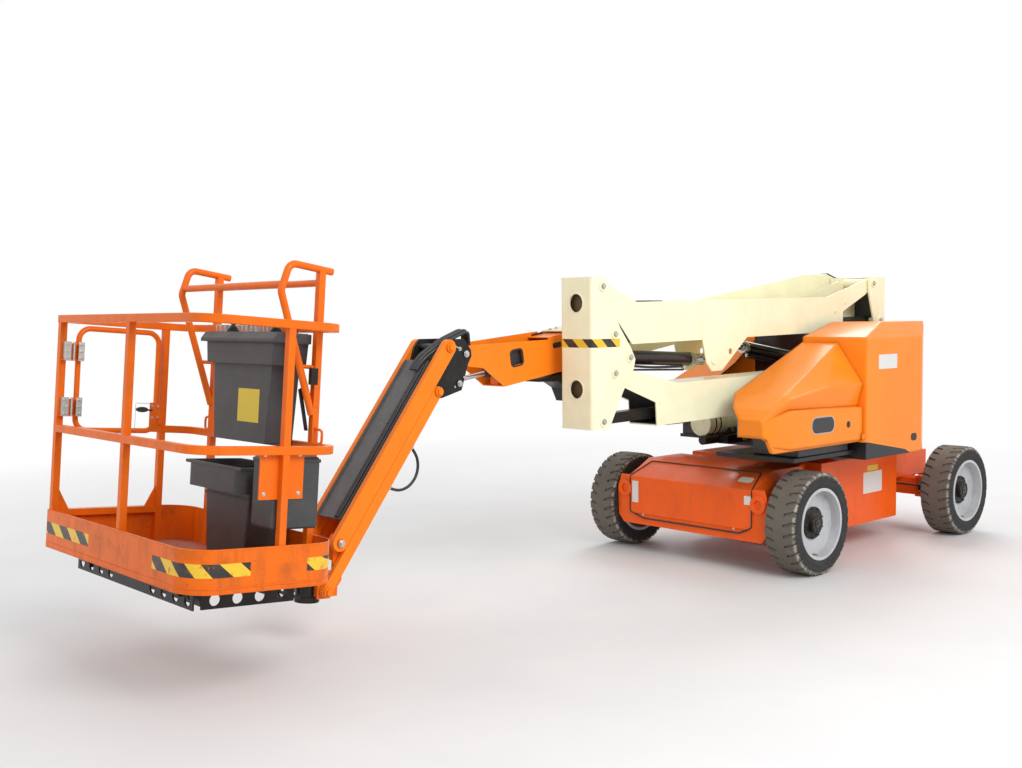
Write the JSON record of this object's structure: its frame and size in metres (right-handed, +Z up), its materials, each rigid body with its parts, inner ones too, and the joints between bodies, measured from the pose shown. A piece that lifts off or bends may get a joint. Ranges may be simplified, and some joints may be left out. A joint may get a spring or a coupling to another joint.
{
  "type": "articulating boom lift",
  "caption": "Self-propelled work platform on solid tyres: a folding two-stage tower carries a telescoping boom with a short jib and a railed platform.",
  "frame": {"origin": "on the floor, under the centre of the machine's bounding box", "axes": "+X along the boom towards the platform, +Y to the side of the long hood, +Z up"},
  "size_m": [6.6153, 1.785, 1.9979],
  "materials": {
    "orange_paint": "gloss",
    "orange_plastic": "moulded",
    "cream_paint": "satin",
    "black_paint": "satin",
    "silver_paint": "satin",
    "cast_grey": "painted",
    "solid_tyre": "worn",
    "rod_chrome": "polished",
    "grey_plastic": "moulded",
    "pack_grey": "moulded",
    "hose_rubber": "matte"
  },
  "bodies": {
    "chassis": {"chassis_frame": "orange_paint", "drive_end_casing": "orange_paint", "drive_axle": "black_paint", "steer_axle": "black_paint", "slew_ring": "cast_grey"},
    "wheel_front_left": {"tyre_front_left": "solid_tyre", "rim_front_left": "silver_paint", "hub_front_left": "black_paint"},
    "wheel_front_right": {"tyre_front_right": "solid_tyre", "rim_front_right": "silver_paint", "hub_front_right": "black_paint"},
    "wheel_rear_left": {"tyre_rear_left": "solid_tyre", "rim_rear_left": "silver_paint", "hub_rear_left": "black_paint"},
    "wheel_rear_right": {"tyre_rear_right": "solid_tyre", "rim_rear_right": "silver_paint", "hub_rear_right": "black_paint"},
    "steer_knuckle_left": {"knuckle_left": "black_paint"},
    "steer_knuckle_right": {"knuckle_right": "black_paint"},
    "steer_tie": {"tie_rod": "black_paint"},
    "turntable": {"turntable_frame": "orange_paint", "counterweight": "orange_paint", "rear_cover_left": "orange_plastic", "rear_cover_right": "orange_plastic", "battery_packs": "pack_grey", "power_unit": "cream_paint"},
    "engine_hood_left": {"hood_left": "orange_plastic"},
    "engine_hood_right": {"hood_right": "orange_plastic"},
    "tower_lower": {"lower_boom": "cream_paint"},
    "tower_lower_link": {"lower_link": "cream_paint"},
    "tower_front": {"front_upright": "cream_paint"},
    "tower_upper": {"upper_boom": "cream_paint"},
    "tower_upper_link": {"upper_link": "cream_paint"},
    "tower_rear": {"rear_upright": "cream_paint"},
    "lower_lift_barrel": {"lower_cylinder_barrel": "black_paint"},
    "lower_lift_rod": {"lower_cylinder_rod": "rod_chrome"},
    "upper_lift_barrel": {"upper_cylinder_barrel": "black_paint"},
    "upper_lift_rod": {"upper_cylinder_rod": "rod_chrome"},
    "boom": {"main_boom": "cream_paint", "boom_end_guard": "black_paint"},
    "boom_lift_barrel": {"main_cylinder_barrel": "black_paint"},
    "boom_lift_rod": {"main_cylinder_rod": "rod_chrome"},
    "fly": {"fly_boom": "orange_paint", "level_barrel": "black_paint"},
    "levelling_rod": {"level_rod": "rod_chrome"},
    "tip_bracket": {"jib_bracket": "black_paint"},
    "jib": {"jib_arm": "orange_paint", "jib_cover": "grey_plastic"},
    "jib_lower": {"jib_link": "orange_paint", "jib_hose": "hose_rubber"},
    "swing_support": {"platform_support": "black_paint", "platform_rotator": "black_paint"},
    "platform": {"platform_carrier": "black_paint", "platform_floor": "orange_paint", "platform_rails": "orange_paint", "control_console": "grey_plastic", "tool_tray": "grey_plastic", "platform_boxes": "grey_plastic"},
    "gate": {"platform_gate": "orange_paint"}
  },
  "joints": [
    {"name": "roll_front_left", "type": "hinge", "parent": "chassis", "child": "wheel_front_left", "pos_m": [-0.96267, 0.7775, 0.335], "axis": [0, 1, 0], "continuous": true},
    {"name": "roll_front_right", "type": "hinge", "parent": "chassis", "child": "wheel_front_right", "pos_m": [-0.96267, -0.7425, 0.335], "axis": [0, 1, 0], "continuous": true},
    {"name": "steer_left", "type": "hinge", "parent": "chassis", "child": "steer_knuckle_left", "pos_m": [-2.97267, 0.5775, 0.335], "axis": [0, 0, 1], "range_deg": [-35, 35]},
    {"name": "roll_rear_left", "type": "hinge", "parent": "steer_knuckle_left", "child": "wheel_rear_left", "pos_m": [-2.97267, 0.7775, 0.335], "axis": [0, 1, 0], "continuous": true},
    {"name": "steer_right", "type": "hinge", "parent": "chassis", "child": "steer_knuckle_right", "pos_m": [-2.97267, -0.5425, 0.335], "axis": [0, 0, 1], "range_deg": [-35, 35]},
    {"name": "roll_rear_right", "type": "hinge", "parent": "steer_knuckle_right", "child": "wheel_rear_right", "pos_m": [-2.97267, -0.7425, 0.335], "axis": [0, 1, 0], "continuous": true},
    {"name": "tie_turn", "type": "hinge", "parent": "steer_knuckle_left", "child": "steer_tie", "pos_m": [-2.83267, 0.5775, 0.335], "axis": [0, 0, 1], "range_deg": [-35, 35]},
    {"name": "swing", "type": "hinge", "parent": "chassis", "child": "turntable", "pos_m": [-1.96767, 0.0175, 0.735], "axis": [0, 0, 1], "range_deg": [-177.5, 177.5]},
    {"name": "hood_left_hinge", "type": "hinge", "parent": "turntable", "child": "engine_hood_left", "pos_m": [-1.49267, 0.8625, 0.8575], "axis": [0, 0, 1], "range_deg": [0, 75]},
    {"name": "hood_right_hinge", "type": "hinge", "parent": "turntable", "child": "engine_hood_right", "pos_m": [-1.94267, -0.8275, 0.8575], "axis": [0, 0, -1], "range_deg": [0, 75]},
    {"name": "tower_lift", "type": "hinge", "parent": "turntable", "child": "tower_lower", "pos_m": [-2.66767, 0.18, 1.4], "axis": [0, -1, 0], "range_deg": [0, 72]},
    {"name": "lower_link_turn", "type": "hinge", "parent": "turntable", "child": "tower_lower_link", "pos_m": [-2.56267, 0.18, 1.117], "axis": [0, -1, 0], "range_deg": [0, 72]},
    {"name": "front_level", "type": "hinge", "parent": "tower_lower", "child": "tower_front", "pos_m": [0.37377, 0.18, 1.3416], "axis": [0, -1, 0], "range_deg": [-72, 0]},
    {"name": "upper_lift", "type": "hinge", "parent": "tower_front", "child": "tower_upper", "pos_m": [0.48077, 0.18, 1.8576], "axis": [0, -1, 0], "range_deg": [-72, 0]},
    {"name": "upper_link_turn", "type": "hinge", "parent": "tower_front", "child": "tower_upper_link", "pos_m": [0.37577, 0.18, 1.5746], "axis": [0, -1, 0], "range_deg": [-72, 0]},
    {"name": "rear_level", "type": "hinge", "parent": "tower_upper", "child": "tower_rear", "pos_m": [-2.56067, 0.18, 1.916], "axis": [0, -1, 0], "range_deg": [0, 72]},
    {"name": "lower_lift_tilt", "type": "hinge", "parent": "turntable", "child": "lower_lift_barrel", "pos_m": [-2.42567, 0.18, 0.975], "axis": [0, -1, 0], "range_deg": [0, 71.79]},
    {"name": "lower_lift_stroke", "type": "slide", "parent": "lower_lift_barrel", "child": "lower_lift_rod", "axis": [0.9951, 0, -0.0993], "range_m": [0, 0.57541]},
    {"name": "upper_lift_tilt", "type": "hinge", "parent": "tower_front", "child": "upper_lift_barrel", "pos_m": [0.23877, 0.18, 1.4326], "axis": [0, -1, 0], "range_deg": [-70.6, 0]},
    {"name": "upper_lift_stroke", "type": "slide", "parent": "upper_lift_barrel", "child": "upper_lift_rod", "axis": [-0.9988, 0, -0.0484], "range_m": [0, 0.57478]},
    {"name": "main_lift", "type": "hinge", "parent": "tower_rear", "child": "boom", "pos_m": [-2.56267, -0.1425, 1.87], "axis": [0, -1, 0], "range_deg": [0, 70]},
    {"name": "boom_lift_tilt", "type": "hinge", "parent": "tower_rear", "child": "boom_lift_barrel", "pos_m": [-2.56267, -0.1425, 1.3], "axis": [0, -1, 0], "range_deg": [0, 55.04]},
    {"name": "boom_lift_stroke", "type": "slide", "parent": "boom_lift_barrel", "child": "boom_lift_rod", "axis": [0.9898, 0, 0.1425], "range_m": [0, 0.53616]},
    {"name": "telescope", "type": "slide", "parent": "boom", "child": "fly", "axis": [0.9888, 0, -0.1495], "range_m": [0, 1.4]},
    {"name": "levelling_stroke", "type": "slide", "parent": "fly", "child": "levelling_rod", "axis": [0.9888, 0, -0.1495], "range_m": [-0.19656, 0]},
    {"name": "tip_level", "type": "hinge", "parent": "fly", "child": "tip_bracket", "pos_m": [1.24708, -0.1425, 1.47487], "axis": [0, -1, 0], "range_deg": [-70, 0]},
    {"name": "jib_lift", "type": "hinge", "parent": "tip_bracket", "child": "jib", "pos_m": [1.39733, -0.1425, 1.515], "axis": [0, -1, 0], "range_deg": [0, 125]},
    {"name": "jib_link_turn", "type": "hinge", "parent": "tip_bracket", "child": "jib_lower", "pos_m": [1.47933, -0.1425, 1.2735], "axis": [0, -1, 0], "range_deg": [0, 125]},
    {"name": "platform_level", "type": "hinge", "parent": "jib", "child": "swing_support", "pos_m": [2.14358, -0.1425, 0.52469], "axis": [0, -1, 0], "range_deg": [-125, 0]},
    {"name": "platform_swing", "type": "hinge", "parent": "swing_support", "child": "platform", "pos_m": [2.24804, -0.1425, 0.3145], "axis": [-0.0814, 0, 0.9967], "range_deg": [-90, 90]},
    {"name": "gate_swing", "type": "hinge", "parent": "platform", "child": "gate", "pos_m": [3.17069, -0.8375, 1.38818], "axis": [0.0814, 0, -0.9967], "range_deg": [0, 90]}
  ],
  "couplings": [
    {"joint": "steer_right", "follows": "steer_left", "ratio": 1},
    {"joint": "tie_turn", "follows": "steer_left", "ratio": -1},
    {"joint": "lower_link_turn", "follows": "tower_lift", "ratio": 1},
    {"joint": "front_level", "follows": "tower_lift", "ratio": -1},
    {"joint": "upper_lift", "follows": "tower_lift", "ratio": -1},
    {"joint": "upper_link_turn", "follows": "tower_lift", "ratio": -1},
    {"joint": "rear_level", "follows": "tower_lift", "ratio": 1},
    {"joint": "lower_lift_tilt", "follows": "tower_lift", "ratio": 0.99632},
    {"joint": "lower_lift_stroke", "follows": "tower_lift", "m_per_rad": 0.4575},
    {"joint": "upper_lift_tilt", "follows": "tower_lift", "ratio": -0.9798},
    {"joint": "upper_lift_stroke", "follows": "tower_lift", "m_per_rad": 0.45699},
    {"joint": "boom_lift_tilt", "follows": "main_lift", "ratio": 0.78559},
    {"joint": "boom_lift_stroke", "follows": "main_lift", "m_per_rad": 0.43844},
    {"joint": "levelling_stroke", "follows": "main_lift", "m_per_rad": -0.16048},
    {"joint": "tip_level", "follows": "main_lift", "ratio": -1},
    {"joint": "jib_link_turn", "follows": "jib_lift", "ratio": 1},
    {"joint": "platform_level", "follows": "jib_lift", "ratio": -1}
  ]
}
